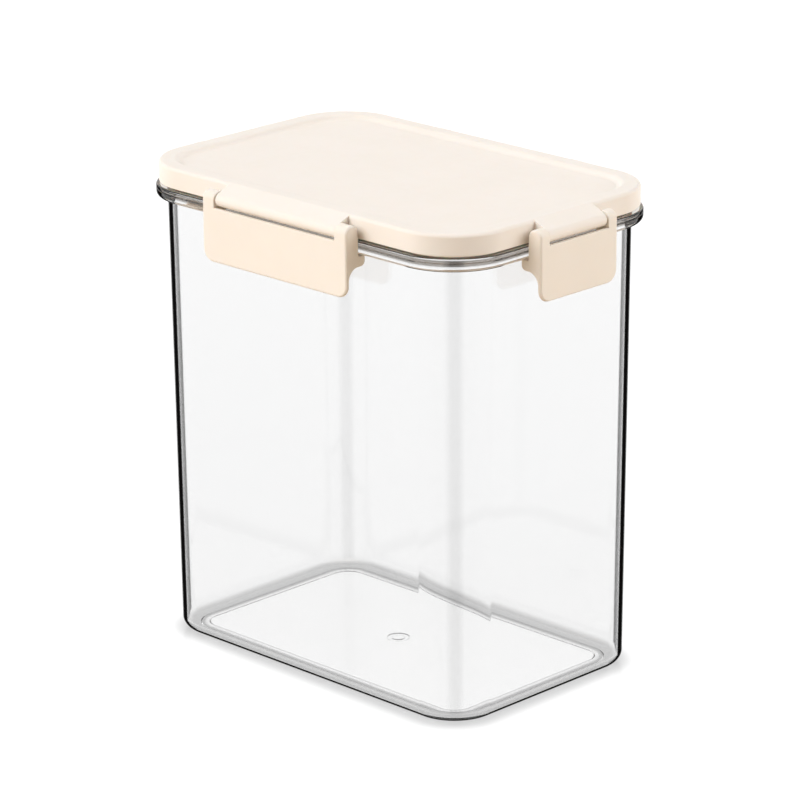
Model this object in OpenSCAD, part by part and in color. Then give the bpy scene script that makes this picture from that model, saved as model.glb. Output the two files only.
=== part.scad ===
// Clear food canister with a lift-off lid, a sealing ring and four flap latches.
// Units are mm. Z is up and the canister stands on its foot ring at Z = 0.
// Pieces are built from cross-sections drawn as (offset from the wall, height).
// Offset 0 is the outside of the wall just under the rim flange.

/* [Canister] */
// Outside length of the wall, just under the rim flange
body_length = 203; // [160:1:260]
// Outside width of the wall, just under the rim flange
body_width = 133; // [110:1:180]
// Height of the wall, from the underside of the floor to the rim flange
wall_height = 218.5; // [120:0.5:320]
// Outside radius of the upright corners at the rim flange
corner_radius = 25.5; // [18:0.5:34]
// Thickness of the wall
wall = 2.2; // [1.6:0.1:3.2]
// How much the base is narrower than the top, on each side
draft = 2.3; // [0.5:0.1:4]
// Thickness of the floor
floor_thickness = 2.6; // [1.8:0.1:4]
// Outside radius where the wall turns into the floor
base_edge_radius = 5.5; // [4:0.1:7]
// Inside radius where the wall meets the floor
floor_fillet = 3.4; // [1.5:0.1:5]

/* [Foot ring] */
// Height of the foot ring under the floor
foot_height = 0.6; // [0.3:0.1:1.5]
// Width of the foot ring
foot_width = 3.7; // [3:0.1:9]
// Distance from the wall to the outer edge of the foot ring
foot_inset = 12.3; // [10:0.1:18]
// Diameter of the moulding dimple in the middle of the base
gate_diameter = 11; // [7:0.1:14]
// Diameter of the nub left in the dimple
gate_nub = 6; // [2:0.1:6.5]
// Depth of the dimple
gate_depth = 0.5; // [0.2:0.1:0.8]

/* [Rim flange] */
// How far the flange stands out from the wall
rim_overhang = 5.5; // [4:0.1:7]
// Height of the flange
rim_height = 6.3; // [5:0.1:9]
// Radius of the lower outer edge of the flange
rim_lower_round = 2.4; // [1:0.1:2.8]
// Radius of the upper outer edge of the flange
rim_upper_round = 1.2; // [0.6:0.1:1.6]
// Radius of the bead groove around the flange
bead_radius = 0.4; // [0.2:0.05:0.6]
// Distance from the top of the flange down to the bead groove
bead_drop = 2.1; // [1.9:0.1:3]

/* [Lid] */
// How far the lid stands out from the wall
lid_overhang = 4.1; // [3.4:0.1:5.2]
// Gap between the flange and the lid skirt
lid_gap = 1; // [0.5:0.1:2]
// Height of the lid above its skirt edge
lid_height = 10.1; // [9:0.1:14]
// Thickness of the lid skirt
skirt = 2; // [1.4:0.1:2.4]
// Radius of the upper outer edge of the lid
lid_edge_radius = 1.8; // [0.8:0.1:2.4]
// Width of the flat top of the stacking rim, with its rounded edge
stack_flat = 7.2; // [5:0.1:10]
// Width of the slope from the stacking rim down to the panel
stack_slope = 4.6; // [3:0.1:7]
// Depth of the recessed panel
panel_recess = 2; // [1:0.1:2.8]
// Thickness of the panel
panel_thickness = 2.2; // [1.6:0.1:3]
// Reach of the plug wall below the top of the flange
plug_depth = 1; // [0.6:0.1:12]
// Thickness of the plug wall
plug_wall = 1.8; // [1.2:0.1:2.4]
// Gap between the plug wall and the inside of the canister
plug_gap = 0.6; // [0.4:0.05:1]

/* [Sealing ring] */
// Height of the sealing ring
ring_height = 6; // [4:0.1:6.5]
// Gap on each side of the sealing ring in its channel
ring_gap = 0.3; // [0.1:0.05:0.5]
// Radius of the relief groove on each side of the sealing ring
ring_relief = 0.7; // [0.3:0.05:0.9]

/* [Latches] */
// Width of the latches on the long sides
wide_latch = 94.4; // [70:0.2:120]
// Width of the latches on the short sides
narrow_latch = 51.2; // [40:0.2:70]
// Width of each ear on a wide latch
wide_ear = 7.7; // [6:0.1:10]
// Width of each ear on a narrow latch
narrow_ear = 6; // [5.6:0.1:8]
// Thickness of the latch plate and of the ear walls
latch_wall = 1.8; // [1.4:0.1:2.2]
// Distance from the flange out to the front of the latch
latch_standoff = 8.2; // [7:0.1:10]
// Radius of the ear around the hinge axis
ear_radius = 3.9; // [3.6:0.1:3.9]
// Height of the hinge axis above the lid skirt edge
hinge_rise = 3.5; // [3.4:0.1:5]
// Length of the latch below the hinge axis
latch_drop = 29.7; // [26:0.1:40]
// Distance from the hinge axis down to the top of the latch plate
slot_drop = 3.6; // [3.6:0.1:5]
// Thickness of the return lip behind the top of the latch plate
slot_lip = 1.4; // [1:0.1:2]
// How far the return lip sits below the top of the latch plate
lip_drop = 0.9; // [0.4:0.1:1.5]
// Radius of the lower corners of the latch
latch_corner = 6; // [2:0.1:8]
// Radius of the upper corners of the ears
ear_corner = 1.4; // [0.5:0.1:2]
// How far the hook reaches in under the flange
hook_reach = 3.7; // [2.8:0.1:4.5]
// Height of the hook at the ears
hook_height = 5; // [4:0.1:6]
// Thickness of the hook rib between the ears
hook_rib = 2.6; // [2:0.1:3.5]
// Gap between the hook and the underside of the flange
hook_gap = 0.2; // [0.1:0.05:0.5]
// Radius of the hollow curve under the hook
hook_curve = 6; // [4:0.1:7]

/* [Hinges] */
// Radius of the round nose on the lid that carries each latch
nose_radius = 3.3; // [2.8:0.1:3.4]
// Radius of the hinge pegs on the ears
peg_radius = 1.25; // [1:0.05:1.6]
// Length of the hinge pegs
peg_length = 3; // [2:0.1:5]
// Gap around a hinge peg in its bore
peg_gap = 0.05; // [0.02:0.01:0.09]
// Gap between the end of the nose and the ear, and at the end of the bore
side_gap = 0.3; // [0.2:0.05:0.6]

/* [Hidden] */
$fn = 96;

// Heights
floor_under = foot_height;
floor_top = floor_under + floor_thickness;
rim_bottom = floor_under + wall_height;
rim_top = rim_bottom + rim_height;
skirt_bottom = rim_top + lid_gap;
lid_top = skirt_bottom + lid_height;
panel_top = lid_top - panel_recess;
panel_under = panel_top - panel_thickness;
channel_top = rim_top + ring_height;
plug_bottom = rim_top - plug_depth;
hinge_z = skirt_bottom + hinge_rise;
latch_bottom = hinge_z - latch_drop;
hook_top = rim_bottom - hook_gap;
hook_bottom = hook_top - hook_height;

// Offsets from the wall
slope = draft / wall_height;
lean = atan(slope);
rim_out = rim_overhang;
lid_out = lid_overhang;
skirt_in = lid_out - skirt;
plug_out = -wall - plug_gap;
plug_in = plug_out - plug_wall;
flat_in = lid_out - stack_flat;
slope_in = flat_in - stack_slope;
latch_face = rim_out + latch_standoff;
plate_in = latch_face - latch_wall;
hinge_out = latch_face - ear_radius;
ear_back = hinge_out - ear_radius;
hook_tip = rim_out - hook_reach;

// Corner centres of the rounded plan
core_x = body_length / 2 - corner_radius;
core_y = body_width / 2 - corner_radius;

// Depth to which the wall section reaches in over the floor
floor_lap = draft + base_edge_radius + floor_fillet + wall + 2;
eps = 0.01;

// A turned edge stands this little past the leaning wall, so they cross cleanly
blend = 0.004;

clear_tint = [0.82, 0.88, 0.92, 0.35];
cream = [0.96, 0.91, 0.82];
cream_deep = [0.93, 0.87, 0.77];
silicone = [0.92, 0.92, 0.88];

// Outside of the leaning wall at a height
function wall_at(z) = (z - rim_bottom) * slope;

// Sweep a cross-section around the rounded plan of the canister
module around() {
    for (c = [[core_x, core_y, 0], [-core_x, core_y, 90],
              [-core_x, -core_y, 180], [core_x, -core_y, 270]])
        translate([c[0], c[1], 0])
            rotate([0, 0, c[2]])
                rotate_extrude(angle = 90)
                    translate([corner_radius, 0]) children();
    for (a = [0, 180])
        rotate([0, 0, a])
            translate([-core_x, body_width / 2, 0])
                rotate([90, 0, 90]) linear_extrude(2 * core_x) children();
    for (a = [0, 180])
        rotate([0, 0, a])
            translate([body_length / 2, core_y, 0])
                rotate([90, 0, 0]) linear_extrude(2 * core_y) children();
}

// Flat plate with the rounded plan, at an offset from the wall
module plate(off, z0, z1) {
    r = corner_radius + off;
    translate([0, 0, z0])
        linear_extrude(z1 - z0)
            union() {
                square([2 * core_x, 2 * (core_y + r)], center = true);
                square([2 * (core_x + r), 2 * core_y], center = true);
                for (sx = [-1, 1], sy = [-1, 1])
                    translate([sx * core_x, sy * core_y]) circle(r);
            }
}

// ---------------------------------------------------------------- canister

// Outline of the wall and its turned base edge, filled towards the middle
module outer_outline() {
    c_off = wall_at(floor_under + base_edge_radius) - base_edge_radius / cos(lean);
    c_z = floor_under + base_edge_radius;
    t_off = c_off + base_edge_radius * cos(lean);
    t_z = c_z - base_edge_radius * sin(lean);
    polygon([[-floor_lap, floor_under], [c_off, floor_under], [c_off, t_z],
             [t_off, t_z], [wall_at(rim_top), rim_top], [-floor_lap, rim_top]]);
    translate([c_off + blend, c_z]) circle(base_edge_radius);
}

// Outline of the inside space, filled towards the middle
module inner_outline() {
    w = wall / cos(lean);
    c_z = floor_top + floor_fillet;
    c_off = wall_at(c_z) - w - floor_fillet / cos(lean);
    t_off = c_off + floor_fillet * cos(lean);
    t_z = c_z - floor_fillet * sin(lean);
    polygon([[-floor_lap - 1, floor_top], [c_off, floor_top], [c_off, t_z],
             [t_off, t_z], [wall_at(rim_bottom) - w, rim_bottom], [-w, rim_top + 1],
             [-floor_lap - 1, rim_top + 1]]);
    translate([c_off + blend, c_z]) circle(floor_fillet);
}

module rim_outline() {
    difference() {
        union() {
            translate([-wall / 2, rim_bottom])
                square([wall / 2 + rim_out - rim_lower_round, rim_height]);
            translate([-wall / 2, rim_bottom + rim_lower_round])
                square([wall / 2 + rim_out, rim_height - rim_lower_round - rim_upper_round]);
            translate([-wall / 2, rim_top - rim_upper_round - eps])
                square([wall / 2 + rim_out - rim_upper_round, rim_upper_round + eps]);
            translate([rim_out - rim_lower_round, rim_bottom + rim_lower_round])
                circle(rim_lower_round);
            translate([rim_out - rim_upper_round, rim_top - rim_upper_round])
                circle(rim_upper_round);
        }
        translate([rim_out, rim_top - bead_drop]) circle(bead_radius);
    }
}

module foot_outline() {
    out = -foot_inset;
    polygon([[out + foot_height, floor_under + eps], [out, 0], [out - foot_width, 0],
             [out - foot_width - foot_height, floor_under + eps],
             [out - foot_width - foot_height, floor_under + 1],
             [out + foot_height, floor_under + 1]]);
}

module canister_body() {
    color(clear_tint)
        difference() {
            union() {
                around()
                    union() {
                        difference() {
                            outer_outline();
                            inner_outline();
                        }
                        rim_outline();
                    }
                plate(1 - floor_lap, floor_under, floor_top);
                around() foot_outline();
            }
            difference() {
                translate([0, 0, floor_under - 1])
                    cylinder(h = 1 + gate_depth, d = gate_diameter);
                translate([0, 0, floor_under])
                    cylinder(h = gate_depth + 1, d = gate_nub);
            }
        }
}

// --------------------------------------------------------------------- lid

// Soft step from the stacking rim down to the panel
module step_outline() {
    half = stack_slope / 2;
    mid = (lid_top + panel_top) / 2;
    bend = (stack_slope * stack_slope + panel_recess * panel_recess) / (4 * panel_recess);
    translate([slope_in + half, panel_top - eps]) square([half, mid - panel_top + eps]);
    intersection() {
        translate([flat_in, lid_top - bend]) circle(bend);
        translate([flat_in - half, mid - eps]) square([half + eps, lid_top - mid + eps]);
    }
    difference() {
        translate([slope_in, panel_top - eps]) square([half + eps, mid - panel_top + eps]);
        translate([slope_in, panel_top + bend]) circle(bend);
    }
}

module lid_outline() {
    lap = slope_in - 6;
    edge = lid_edge_radius;
    translate([lap, panel_under]) square([skirt_in - lap, panel_top - panel_under]);
    translate([flat_in, channel_top])
        square([lid_out - edge - flat_in, lid_top - channel_top]);
    translate([plug_in, channel_top]) square([lid_out - plug_in, panel_top - channel_top]);
    translate([skirt_in, skirt_bottom]) square([skirt, lid_height - edge]);
    translate([lid_out - edge, lid_top - edge]) circle(edge);
    step_outline();
    polygon([[plug_in, channel_top + eps], [plug_in, plug_bottom],
             [plug_out - plug_wall / 3, plug_bottom],
             [plug_out, plug_bottom + plug_wall], [plug_out, channel_top + eps]]);
}

// Hinge nose on the lid, drawn as (offset, height)
module nose_outline() {
    c1 = [lid_out - lid_edge_radius, lid_top - lid_edge_radius];
    c2 = [hinge_out, hinge_z];
    d = c2 - c1;
    turn = atan2(d[1], d[0]) + acos((lid_edge_radius - nose_radius) / norm(d));
    aim = [cos(turn), sin(turn)];
    t1 = c1 + lid_edge_radius * aim;
    t2 = c2 + nose_radius * aim;
    polygon([[skirt_in + skirt / 2, hinge_z - nose_radius], [hinge_out, hinge_z - nose_radius],
             c2, t2, t1, c1, [skirt_in + skirt / 2, c1[1]]]);
    translate(c2) circle(nose_radius);
}

module nose(latch_width, ear) {
    long = latch_width - 2 * ear - 2 * side_gap;
    difference() {
        translate([-long / 2, 0, 0])
            rotate([90, 0, 90]) linear_extrude(long) nose_outline();
        for (s = [-1, 1])
            translate([s * long / 2, hinge_out, hinge_z])
                rotate([0, -s * 90, 0])
                    translate([0, 0, -1])
                        cylinder(h = 1 + peg_length, r = peg_radius + peg_gap);
    }
}

// Place a piece drawn with +Y outwards on each side of the canister
module on_back() {
    translate([0, body_width / 2, 0]) children();
}

module on_front() {
    rotate([0, 0, 180]) on_back() children();
}

module on_right() {
    translate([body_length / 2, 0, 0]) rotate([0, 0, -90]) children();
}

module on_left() {
    rotate([0, 0, 180]) on_right() children();
}

module lid() {
    color(cream)
        union() {
            around() lid_outline();
            plate(slope_in - 5, panel_under, panel_top);
            on_front() nose(wide_latch, wide_ear);
            on_back() nose(wide_latch, wide_ear);
            on_left() nose(narrow_latch, narrow_ear);
            on_right() nose(narrow_latch, narrow_ear);
        }
}

module lid_gasket() {
    in = plug_out + ring_gap;
    out = skirt_in - ring_gap;
    mid = rim_top + ring_height / 2;
    color(silicone)
        around()
            difference() {
                translate([in, rim_top]) square([out - in, ring_height]);
                translate([in, mid]) circle(ring_relief);
                translate([out, mid]) circle(ring_relief);
            }
}

// ----------------------------------------------------------------- latches

// Full section at an ear: round head, straight back, hook and hollow curve
module ear_outline() {
    translate([hinge_out, hinge_z]) circle(ear_radius);
    translate([ear_back, hook_top - 1])
        square([latch_face - ear_back, hinge_z - hook_top + 1]);
    hook_outline(hook_height, 2.4, hook_curve);
}

// Hook with a tight upper lip, and a hollow curve down to the plate
module hook_outline(tall, low_round, curve) {
    low = hook_top - tall;
    lip = 0.8;
    polygon([[hook_tip + lip, hook_top], [latch_face - eps, hook_top], [latch_face - eps, low],
             [hook_tip + low_round, low], [hook_tip + low_round, low + low_round],
             [hook_tip, low + low_round], [hook_tip, hook_top - lip],
             [hook_tip + lip, hook_top - lip]]);
    translate([hook_tip + low_round, low + low_round]) circle(low_round);
    translate([hook_tip + lip, hook_top - lip]) circle(lip);
    difference() {
        translate([plate_in - curve, low - curve]) square([curve + eps, curve + eps]);
        translate([plate_in - curve, low - curve]) circle(curve);
    }
}

module plate_outline() {
    half = latch_wall / 2;
    top = hinge_z - slot_drop;
    translate([plate_in + half, latch_bottom + half]) circle(half);
    translate([plate_in, latch_bottom + half]) square([latch_wall, top - latch_bottom - half]);
}

// Return lip under the hinge nose, which closes the slot from in front
module lip_outline() {
    top = hinge_z - slot_drop - lip_drop;
    translate([hinge_out, top - slot_lip]) square([plate_in - hinge_out + eps, slot_lip]);
}

// Front outline of a latch: small radii at the ears, large ones below
module front_outline(width) {
    top = hinge_z + ear_radius + 1;
    half = width / 2;
    union() {
        translate([-half, latch_bottom + latch_corner])
            square([width, hinge_z + ear_radius - ear_corner - latch_bottom - latch_corner]);
        translate([-half + latch_corner, latch_bottom - 1])
            square([width - 2 * latch_corner, latch_corner + 1 + eps]);
        translate([-half + ear_corner, hinge_z + ear_radius - ear_corner - eps])
            square([width - 2 * ear_corner, ear_corner + 1]);
        for (s = [-1, 1]) {
            translate([s * (half - latch_corner), latch_bottom + latch_corner])
                circle(latch_corner);
            translate([s * (half - ear_corner), hinge_z + ear_radius - ear_corner])
                circle(ear_corner);
        }
    }
}

module latch(width, ear) {
    pocket = ear - 2 * latch_wall;
    clear = width - 2 * ear;
    intersection() {
        union() {
            translate([-width / 2, 0, 0])
                rotate([90, 0, 90]) linear_extrude(width) plate_outline();
            translate([ear / 2 - width / 2, 0, 0])
                rotate([90, 0, 90])
                    linear_extrude(width - ear) hook_outline(hook_rib, 1, 3);
            translate([-clear / 2 - eps, 0, 0])
                rotate([90, 0, 90]) linear_extrude(clear + 2 * eps) lip_outline();
            for (s = [-1, 1])
                translate([s * (width - ear) / 2, 0, 0])
                    difference() {
                        translate([-ear / 2, 0, 0])
                            rotate([90, 0, 90]) linear_extrude(ear) ear_outline();
                        translate([-pocket / 2, ear_back - 1, hook_top])
                            cube([pocket, plate_in - ear_back + 1, hinge_z - hook_top - 1]);
                    }
        }
        translate([0, latch_face + 1, 0])
            rotate([90, 0, 0])
                linear_extrude(latch_face - hook_tip + 2) front_outline(width);
    }
    for (s = [-1, 1])
        translate([s * (width / 2 - ear + eps), hinge_out, hinge_z])
            rotate([0, -s * 90, 0])
                cylinder(h = peg_length - side_gap + eps, r = peg_radius);
}

module latch_front() {
    color(cream_deep) on_front() latch(wide_latch, wide_ear);
}

module latch_back() {
    color(cream_deep) on_back() latch(wide_latch, wide_ear);
}

module latch_left() {
    color(cream_deep) on_left() latch(narrow_latch, narrow_ear);
}

module latch_right() {
    color(cream_deep) on_right() latch(narrow_latch, narrow_ear);
}

canister_body();
lid();
lid_gasket();
latch_front();
latch_back();
latch_left();
latch_right();
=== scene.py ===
"""Looks for a clear food canister: lift-off lid, sealing ring and four flap latches.

Sizes are in millimetres in the size fields and become metres where a mesh is made.
A cross-section is drawn as corners of (offset, height). Offset 0 is the outside of
the wall just under the rim flange, and height 0 is what the canister stands on.
"""

import logging
import math
from dataclasses import dataclass
from enum import Enum
from typing import Callable, Iterable, NamedTuple, Optional, Sequence, Union

import bmesh
import bpy
from mathutils import Matrix, Vector


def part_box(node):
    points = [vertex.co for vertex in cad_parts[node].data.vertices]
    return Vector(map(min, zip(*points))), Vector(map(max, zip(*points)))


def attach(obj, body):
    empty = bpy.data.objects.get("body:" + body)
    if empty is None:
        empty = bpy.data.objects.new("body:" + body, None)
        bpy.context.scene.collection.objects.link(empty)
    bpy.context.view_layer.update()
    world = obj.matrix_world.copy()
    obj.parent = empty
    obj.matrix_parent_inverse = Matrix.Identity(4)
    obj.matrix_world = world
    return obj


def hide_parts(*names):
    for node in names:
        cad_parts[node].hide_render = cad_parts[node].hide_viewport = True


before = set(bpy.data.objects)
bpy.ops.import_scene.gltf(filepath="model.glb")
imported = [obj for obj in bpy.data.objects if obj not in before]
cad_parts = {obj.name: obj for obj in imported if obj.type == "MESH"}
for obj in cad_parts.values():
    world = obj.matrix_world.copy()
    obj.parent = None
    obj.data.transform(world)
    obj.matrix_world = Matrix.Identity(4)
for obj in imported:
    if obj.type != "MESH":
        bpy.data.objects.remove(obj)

LOG = logging.getLogger("food_canister")
MM = 0.001  # metres in a millimetre
WELD = 0.002 * MM  # points nearer than this are merged after a sweep
FINE_WELD = 1e-7  # the same where two solids meet, and for finding one drawn point
NEAR = 0.01  # how near a place counts as on a drawn edge, in mm
LEVEL = 1e-6  # how near two heights or widths count as the same, in metres
SHARP_ANGLE = math.radians(38)  # edges sharper than this are not shaded smooth
ROUNDED_ANGLE = math.radians(40)  # a latch's edges sharper than this are rounded
FACE_WEIGHT = 60  # how strongly large faces steer the shading
CORNER_STEPS = 20  # faces round a quarter turn of the plan
ROD_SIDES = 40
ROD_ROUND = 0.25  # rounding of the far end of a peg or bore, in mm
PAPER = (1, 1, 1, 1)
SKIRT_GAP = 1.0  # from the top of the flange up to the lid's skirt, in mm
EAR_GAP = 0.3  # between a hinge nose and an ear, at each end, in mm
PASS = 1.0  # how far a cutter reaches past the solid it cuts, in mm
EASE = {"interpolation_type": "SMOOTHSTEP"}
BLOTCH = (0.3, 0.7)  # the range in which most of a noise pattern lies

Test = Callable[[Vector], bool]
Tree = bpy.types.NodeTree
Socket = bpy.types.NodeSocket


class Side(Enum):
    """A side of the canister, as the turn about Z from the back (+Y) side, in degrees."""

    BACK = 0
    LEFT = 90
    FRONT = 180
    RIGHT = 270


class Corner(NamedTuple):
    """A corner of a cross-section in mm, with the radius it is rounded to."""

    off: float
    z: float
    radius: float = 0.0
    steps: int = 5


def linear(hex_colour: str) -> tuple[float, float, float, float]:
    """Turn an sRGB hex colour into a linear RGBA colour.

    Args:
        hex_colour: Six hex digits after a hash sign.

    Returns:
        Linear red, green, blue and an alpha of 1.
    """
    parts = [int(hex_colour[i:i + 2], 16) / 255 for i in (1, 3, 5)]
    curve = [c / 12.92 if c <= 0.04045 else ((c + 0.055) / 1.055) ** 2.4 for c in parts]
    return (curve[0], curve[1], curve[2], 1.0)


def deselect_all() -> None:
    """Deselect every object."""
    bpy.ops.object.select_all(action="DESELECT")


def make_active(obj: bpy.types.Object) -> None:
    """Select one object alone and make it the active one."""
    deselect_all()
    obj.select_set(True)
    bpy.context.view_layer.objects.active = obj


def edit(obj: bpy.types.Object) -> None:
    """Open one object in edit mode with nothing selected."""
    make_active(obj)
    bpy.ops.object.mode_set(mode="EDIT")
    bpy.ops.mesh.select_all(action="DESELECT")


def leave_edit() -> None:
    """Go back to object mode."""
    bpy.ops.object.mode_set(mode="OBJECT")


def select_where(kind: str, test: Test, boundary: bool = False) -> None:
    """Select elements of the mesh in edit mode by their place.

    Args:
        kind: VERT or EDGE.
        test: Takes a place in metres and says whether it is wanted. An edge is wanted
            when both its ends are.
        boundary: Only take edges with a single face.
    """
    bpy.ops.mesh.select_mode(type=kind)
    bpy.ops.mesh.select_all(action="DESELECT")
    mesh = bpy.context.edit_object.data
    shape = bmesh.from_edit_mesh(mesh)
    for part in shape.verts if kind == "VERT" else shape.edges:
        ends = (part,) if kind == "VERT" else part.verts
        if all(test(v.co) for v in ends) and (part.is_boundary or not boundary):
            part.select_set(True)
    bmesh.update_edit_mesh(mesh)


def start_at_point(name: str, place: Vector) -> bpy.types.Object:
    """Add a small plane at a place, collapse it to one point and stay in edit mode.

    Args:
        name: Name of the new object.
        place: Where the point goes, in metres.

    Returns:
        The new object, at the origin and in edit mode, with its point selected.
    """
    deselect_all()
    bpy.ops.mesh.primitive_plane_add(size=MM, location=place)
    obj = bpy.context.active_object
    obj.name = obj.data.name = name
    bpy.ops.object.transform_apply(location=True, rotation=True, scale=True)
    bpy.ops.object.mode_set(mode="EDIT")
    bpy.ops.mesh.select_mode(type="VERT")
    bpy.ops.mesh.select_all(action="SELECT")
    bpy.ops.mesh.merge(type="CENTER")
    return obj


def draw_outline(
    name: str, corners: Sequence[Corner], spot: Callable[[Corner], Vector], closed: bool
) -> bpy.types.Object:
    """Draw a cross-section point by point, then round its corners.

    Args:
        name: Name of the new object.
        corners: The corners in order.
        spot: Puts a corner in its place, in metres.
        closed: Join the last corner to the first.

    Returns:
        The new object, a wire of edges in edit mode.
    """
    places = [spot(c) for c in corners]
    obj = start_at_point(name, places[0])
    for here, there in zip(places, places[1:]):
        bpy.ops.mesh.extrude_region_move(
            TRANSFORM_OT_translate={"value": tuple(there - here)}
        )
    if closed:
        ends = (places[0], places[-1])
        select_where("VERT", lambda p: any((p - e).length < FINE_WELD for e in ends))
        bpy.ops.mesh.edge_face_add()
    count = len(corners)
    for i, corner in enumerate(corners):
        if corner.radius <= 0 or (not closed and i in (0, count - 1)):
            continue
        here = places[i]
        before = (places[i - 1] - here).normalized()
        after = (places[(i + 1) % count] - here).normalized()
        reach = corner.radius / math.tan(before.angle(after) / 2) * MM
        select_where("VERT", lambda p: (p - here).length < FINE_WELD)
        bpy.ops.mesh.bevel(
            affect="VERTICES", offset=reach, segments=corner.steps, clamp_overlap=False
        )
    return obj


def close_up(obj: bpy.types.Object, weld: float = WELD) -> None:
    """Merge doubled points of the mesh in edit mode and turn its faces outwards.

    Args:
        obj: The object in edit mode.
        weld: Points nearer than this are merged, in metres.
    """
    bpy.ops.mesh.select_mode(type="VERT")
    bpy.ops.mesh.select_all(action="SELECT")
    bpy.ops.mesh.remove_doubles(threshold=weld)
    bpy.ops.mesh.select_all(action="SELECT")
    bpy.ops.mesh.normals_make_consistent(inside=False)
    obj.data.update()


def boolean(obj: bpy.types.Object, other: bpy.types.Object, way: str) -> None:
    """Add, cut or keep the overlap of another solid, which is then removed.

    Args:
        obj: The solid that changes.
        other: The solid that is used up.
        way: UNION, DIFFERENCE or INTERSECT.
    """
    make_active(obj)
    bpy.ops.object.modifier_add(type="BOOLEAN")
    step = obj.modifiers[-1]
    step.operation, step.solver, step.object = way, "MANIFOLD", other
    bpy.ops.object.modifier_apply(modifier=step.name)
    bpy.data.objects.remove(other)


def smooth(obj: bpy.types.Object) -> None:
    """Shade an object smooth up to a sharp edge, with normals weighted by face size.

    Args:
        obj: The finished solid.
    """
    make_active(obj)
    bpy.ops.object.shade_smooth_by_angle(angle=SHARP_ANGLE)
    bpy.ops.object.modifier_add(type="WEIGHTED_NORMAL")
    step = obj.modifiers[-1]
    step.keep_sharp = True
    step.weight = FACE_WEIGHT
    bpy.ops.object.modifier_apply(modifier=step.name)


def copy_turned(obj: bpy.types.Object, name: str, turn: Matrix) -> bpy.types.Object:
    """Copy an object with a mesh of its own and turn the copy.

    Args:
        obj: The object that is copied.
        name: Name of the copy.
        turn: Matrix that places the copy.

    Returns:
        The copy, at the origin, with its place in its mesh.
    """
    make_active(obj)
    bpy.ops.object.duplicate()
    copy = bpy.context.active_object
    copy.name = copy.data.name = name
    copy.matrix_world = turn @ copy.matrix_world
    bpy.ops.object.transform_apply(location=True, rotation=True, scale=True)
    return copy


@dataclass(frozen=True)
class Plan:
    """Rounded rectangle that every swept piece follows, in mm."""

    half_length: float
    half_width: float
    radius: float = 25.5

    @property
    def core(self) -> Vector:
        """Centre of the corner at the back right."""
        return Vector((self.half_length - self.radius, self.half_width - self.radius, 0))

    def sweep(self, name: str, corners: Sequence[Corner], closed: bool) -> bpy.types.Object:
        """Carry a cross-section once around the plan.

        Args:
            name: Name of the new object.
            corners: The cross-section.
            closed: The cross-section is a closed ring.

        Returns:
            The swept object in edit mode, with its seam merged.
        """
        cx, cy = self.core.x, self.core.y
        obj = draw_outline(
            name, corners,
            lambda c: Vector((cx, cy + self.radius + c.off, c.z)) * MM, closed,
        )
        bpy.ops.mesh.select_all(action="SELECT")
        runs = [(cx, cy, 0, -2 * cy), (cx, -cy, -2 * cx, 0),
                (-cx, -cy, 0, 2 * cy), (-cx, cy, 2 * cx, 0)]
        for x, y, dx, dy in runs:
            bpy.ops.mesh.spin(
                steps=CORNER_STEPS, angle=math.pi / 2,
                center=(x * MM, y * MM, 0), axis=(0, 0, 1),
            )
            bpy.ops.mesh.extrude_region_move(
                TRANSFORM_OT_translate={"value": (dx * MM, dy * MM, 0)}
            )
        close_up(obj)
        return obj

    def turn(self, side: Side) -> Matrix:
        """Work out how a piece drawn on the middle of the back wall gets to a side.

        Args:
            side: The side of the canister.

        Returns:
            The matrix that places the piece.
        """
        reach = self.half_width if side in (Side.BACK, Side.FRONT) else self.half_length
        lift = Matrix.Translation((0, reach * MM, 0))
        return Matrix.Rotation(math.radians(side.value), 4, "Z") @ lift


WALL_PLAN = Plan(101.5, 66.5)


def cap(z: float) -> None:
    """Close the open edge at one height, in mm, of the mesh in edit mode."""
    select_where("EDGE", lambda p: abs(p.z - z * MM) < LEVEL, boundary=True)
    bpy.ops.mesh.edge_face_add()


def prism(
    name: str, corners: Sequence[Corner], start: float, end: float, face_on: bool = False
) -> bpy.types.Object:
    """Extrude a closed outline straight.

    Args:
        name: Name of the new object.
        corners: The outline, as (offset, height), or (across, height) when face_on.
        start: Where the extrusion starts, in mm.
        end: Where it ends.
        face_on: Draw the outline facing outwards and extrude it along the offset.

    Returns:
        The solid, out of edit mode.
    """
    def spot(c: Corner) -> Vector:
        """Put a corner in its place, in metres."""
        return Vector((c.off, start, c.z) if face_on else (start, c.off, c.z)) * MM

    step = (end - start) * MM
    move = (0, step, 0) if face_on else (step, 0, 0)
    obj = draw_outline(name, corners, spot, closed=True)
    bpy.ops.mesh.select_all(action="SELECT")
    bpy.ops.mesh.edge_face_add()
    bpy.ops.mesh.extrude_region_move(TRANSFORM_OT_translate={"value": move})
    close_up(obj)
    leave_edit()
    return obj


def rod(name: str, start: Vector, length: float, radius: float) -> bpy.types.Object:
    """Make a short rod along X with a slightly rounded far end.

    Args:
        name: Name of the new object.
        start: Middle of the near end, in mm.
        length: Length along X, negative towards -X.
        radius: Radius in mm.

    Returns:
        The rod.
    """
    deselect_all()
    middle = start + Vector((length / 2, 0, 0))
    bpy.ops.mesh.primitive_cylinder_add(
        vertices=ROD_SIDES, radius=radius * MM, depth=abs(length) * MM,
        location=middle * MM, rotation=(0, math.pi / 2, 0),
    )
    obj = bpy.context.active_object
    obj.name = obj.data.name = name
    bpy.ops.object.transform_apply(location=True, rotation=True, scale=True)
    edit(obj)
    far = (start.x + length) * MM
    select_where("EDGE", lambda p: abs(p.x - far) < LEVEL)
    bpy.ops.mesh.bevel(offset=ROD_ROUND * MM, segments=2)
    leave_edit()
    return obj


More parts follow.
